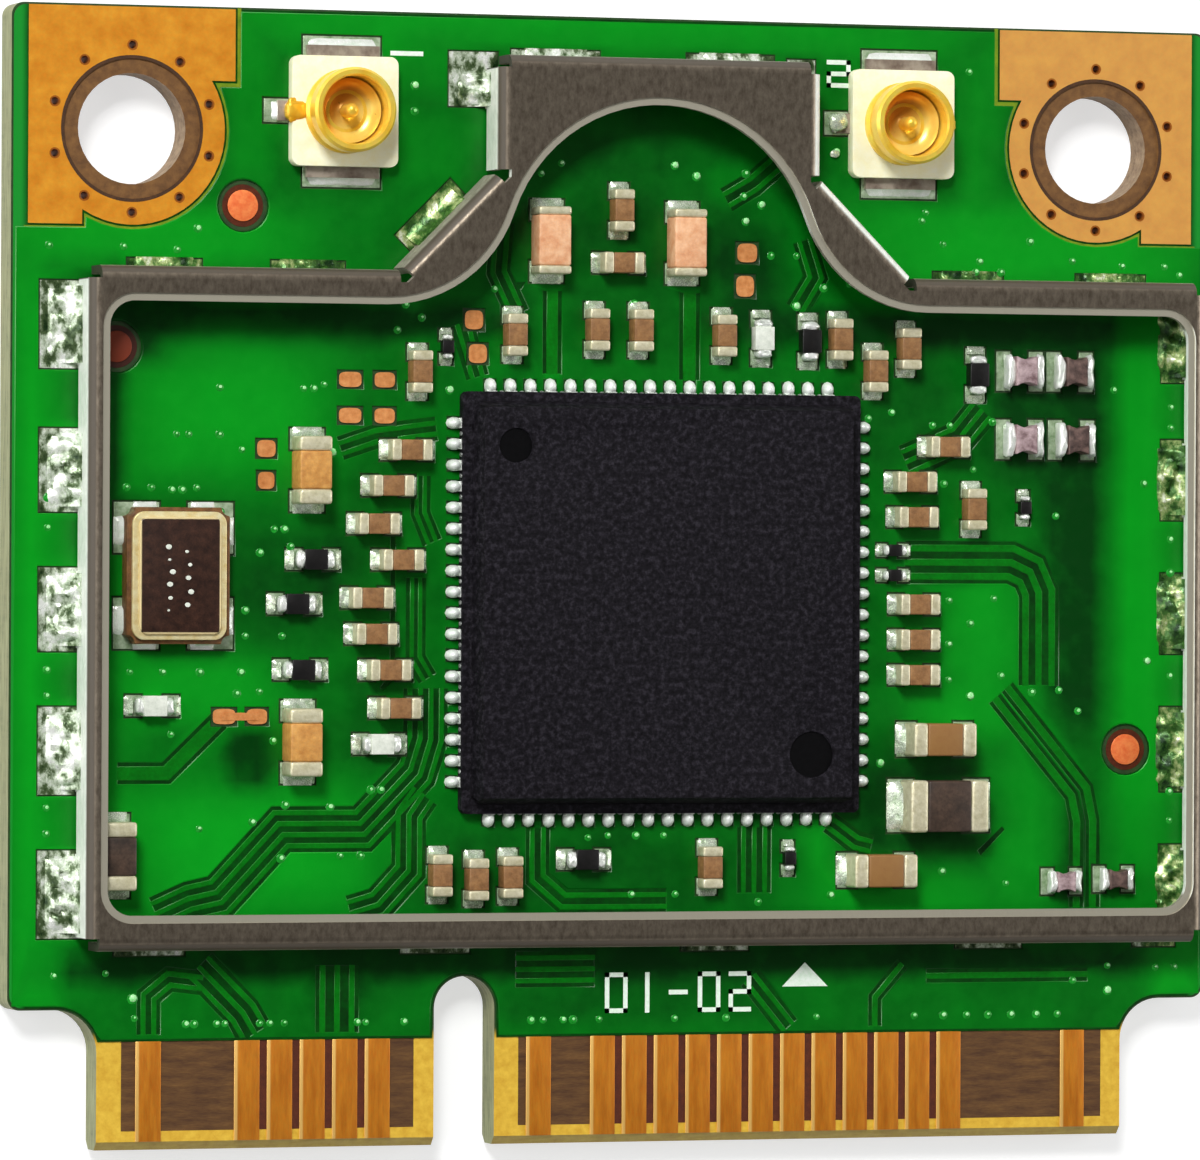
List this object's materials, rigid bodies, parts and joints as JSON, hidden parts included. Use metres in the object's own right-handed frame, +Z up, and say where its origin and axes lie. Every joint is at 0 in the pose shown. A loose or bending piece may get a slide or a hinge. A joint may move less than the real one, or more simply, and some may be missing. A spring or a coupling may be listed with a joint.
{
  "type": "laptop wireless card",
  "caption": "Half-size laptop radio card: green board with edge contacts and a key notch, screw holes, push-on antenna sockets, square radio chip and a stamped shield frame without its lid.",
  "frame": {"origin": "middle of the board's outline, on the lowest plane of the underside", "axes": "+X to the right across the two screw holes, +Y from the contact edge towards the screw holes, +Z up out of the component side"},
  "size_m": [0.03, 0.0268, 0.0022],
  "materials": {
    "laminate": "matte woven glass and resin",
    "green_lacquer": "semi-gloss green",
    "contact_gold": "satin gold plating",
    "land_gold": "satin gold plating",
    "tinned_pad": "satin tin",
    "bare_copper": "satin copper",
    "shield_steel": "dull tin plate",
    "solder": "bright solder",
    "chip_black": "matte moulded black",
    "lead_tin": "bright tin",
    "crystal_ceramic": "matte dark ceramic",
    "seal_gold": "satin pale gold",
    "crystal_lid": "dark metal",
    "socket_cream": "matte cream moulding",
    "socket_gold": "polished gold plating",
    "tan_ceramic": "matte tan",
    "end_tin": "satin tin",
    "dark_ceramic": "matte dark brown",
    "pale_ceramic": "matte pale grey",
    "black_film": "satin black",
    "salmon_ceramic": "matte salmon",
    "coil_brown": "matte dark brown"
  },
  "bodies": {
    "root": {"board_laminate": "laminate", "solder_mask_top": "green_lacquer", "solder_mask_bottom": "green_lacquer", "edge_contacts_top": "contact_gold", "edge_contacts_bottom": "contact_gold", "screw_lands_top": "land_gold", "screw_lands_bottom": "land_gold", "screw_land_vias": "land_gold", "component_pads": "tinned_pad", "empty_pads": "bare_copper", "fiducial_dots": "bare_copper", "shield_pads": "tinned_pad", "shield_frame": "shield_steel", "shield_solder": "solder", "component_solder": "solder", "chip_body": "chip_black", "chip_leads": "lead_tin", "chip_paddle": "lead_tin", "crystal_base": "crystal_ceramic", "crystal_seal_ring": "seal_gold", "crystal_lid": "crystal_lid", "crystal_solder": "solder", "left_socket_base": "socket_cream", "left_socket_shell": "socket_gold", "left_socket_contact": "socket_gold", "right_socket_base": "socket_cream", "right_socket_shell": "socket_gold", "right_socket_contact": "socket_gold", "socket_solder": "solder", "small_capacitor_bodies": "tan_ceramic", "small_capacitor_ends": "end_tin", "medium_capacitor_bodies": "tan_ceramic", "medium_capacitor_ends": "end_tin", "large_capacitor_body": "dark_ceramic", "large_capacitor_ends": "end_tin", "dark_capacitor_body": "dark_ceramic", "dark_capacitor_ends": "end_tin", "pale_resistor_bodies": "pale_ceramic", "black_resistor_bodies": "black_film", "resistor_ends": "end_tin", "tiny_resistor_bodies": "black_film", "tiny_resistor_ends": "end_tin", "filter_bodies": "salmon_ceramic", "filter_ends": "end_tin", "coil_cores": "coil_brown", "coil_ends": "end_tin"}
  },
  "joints": []
}
